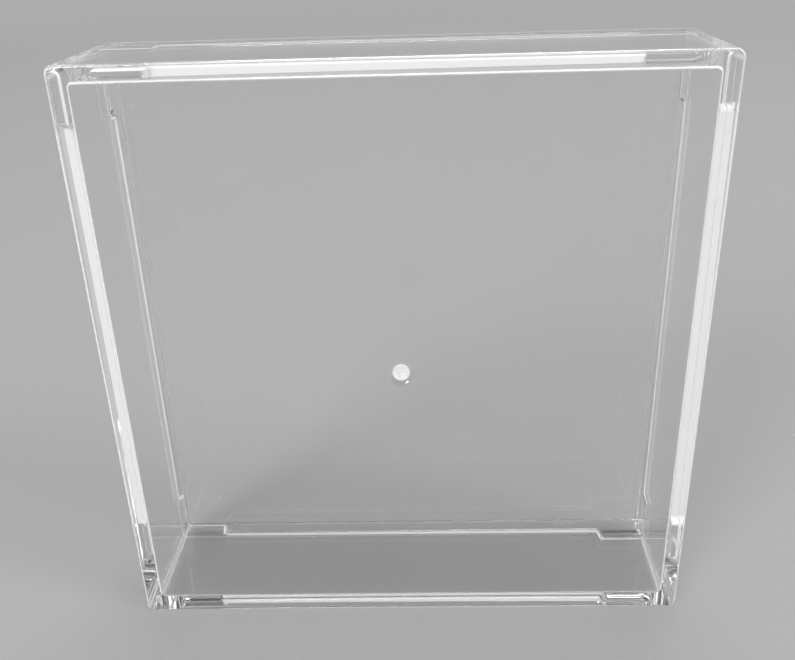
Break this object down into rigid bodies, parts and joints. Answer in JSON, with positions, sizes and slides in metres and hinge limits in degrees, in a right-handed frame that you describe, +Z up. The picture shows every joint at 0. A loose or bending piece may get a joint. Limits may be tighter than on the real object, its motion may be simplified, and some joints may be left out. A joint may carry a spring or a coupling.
{
  "type": "clear lidded box",
  "caption": "Square, shallow clear plastic box standing on a narrow side: a deep tray and a shallow lid that close with interlocking corner tabs, the lid pulling straight off.",
  "frame": {"origin": "on the standing surface, under the middle of the closed box", "axes": "+X to the right seen from the front panel, +Y from the front panel towards the lid, +Z up"},
  "size_m": [0.1, 0.0264, 0.1],
  "materials": {
    "clear_plastic": "polished, water-clear, with fine handling scratches"
  },
  "bodies": {
    "tray": {"tray": "clear_plastic"},
    "lid": {"lid": "clear_plastic"}
  },
  "joints": [
    {"name": "lid_pull", "type": "slide", "parent": "tray", "child": "lid", "axis": [0, 1, 0], "range_m": [0, 0.06]}
  ]
}
